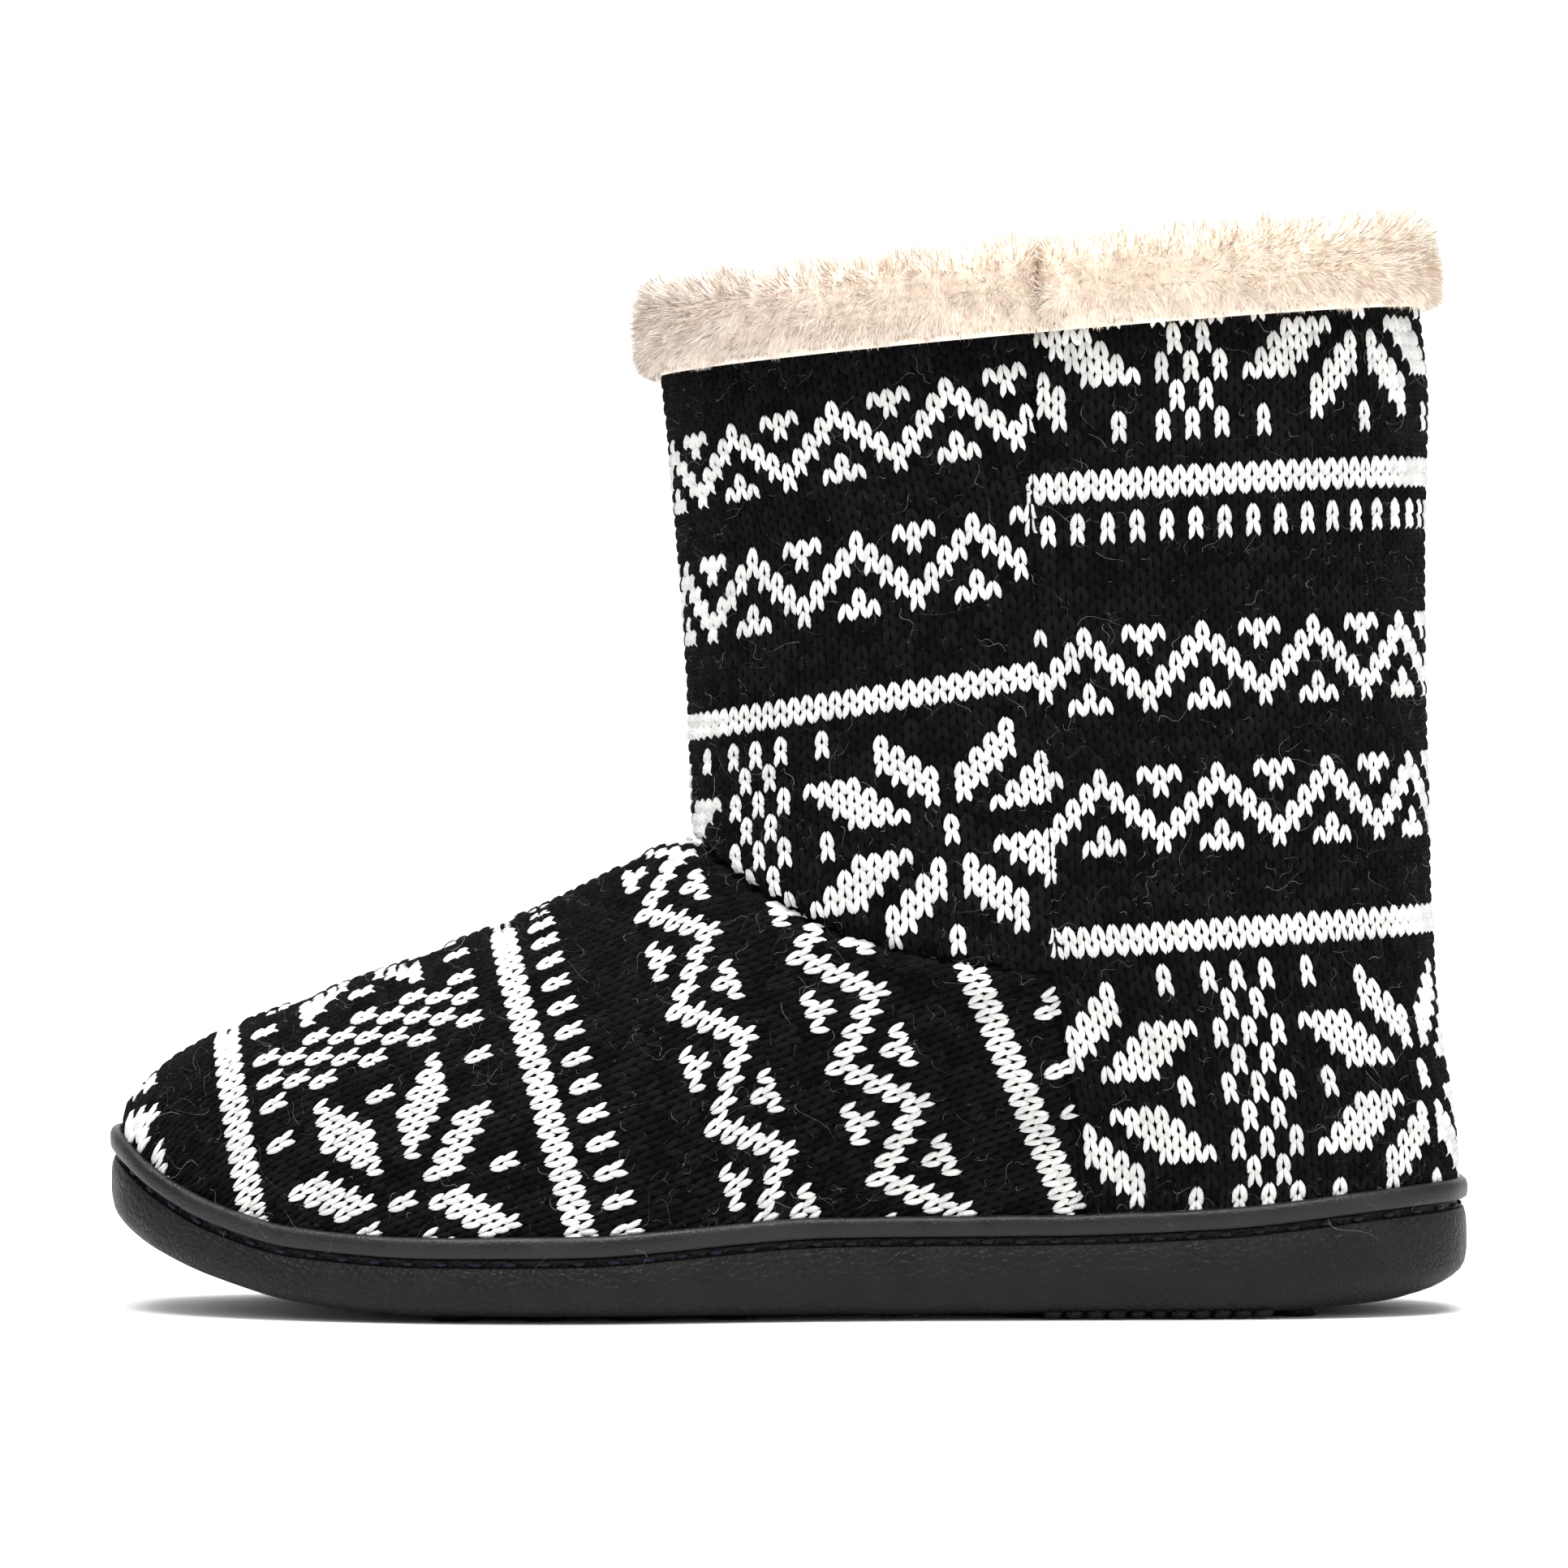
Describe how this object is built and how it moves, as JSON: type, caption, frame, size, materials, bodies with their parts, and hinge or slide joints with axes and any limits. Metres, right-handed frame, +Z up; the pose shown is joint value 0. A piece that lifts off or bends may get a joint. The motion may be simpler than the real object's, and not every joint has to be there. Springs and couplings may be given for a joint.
{
  "type": "faux fur slipper boot",
  "caption": "Ankle-high slipper boot with a black and white knitted upper, a fold-over cuff of cream faux fur and a black rubber sole",
  "frame": {"origin": "bottom centre of the bounding box, on the floor under the tread", "axes": "+X to the toe, +Y to the outer side of the foot, +Z up"},
  "size_m": [0.2584, 0.1118, 0.2047],
  "materials": {
    "sole_rubber": "matte, fine leather-like grain",
    "welt_rubber": "satin",
    "knit": "knitted wool-like yarn, black ground with white pattern",
    "plush": "short plush",
    "fur": "faux fur, cream"
  },
  "bodies": {
    "root": {"outsole": "sole_rubber", "welt": "welt_rubber", "insole": "plush", "upper": "knit", "cuff_front": "fur", "cuff_back": "fur"}
  },
  "joints": []
}
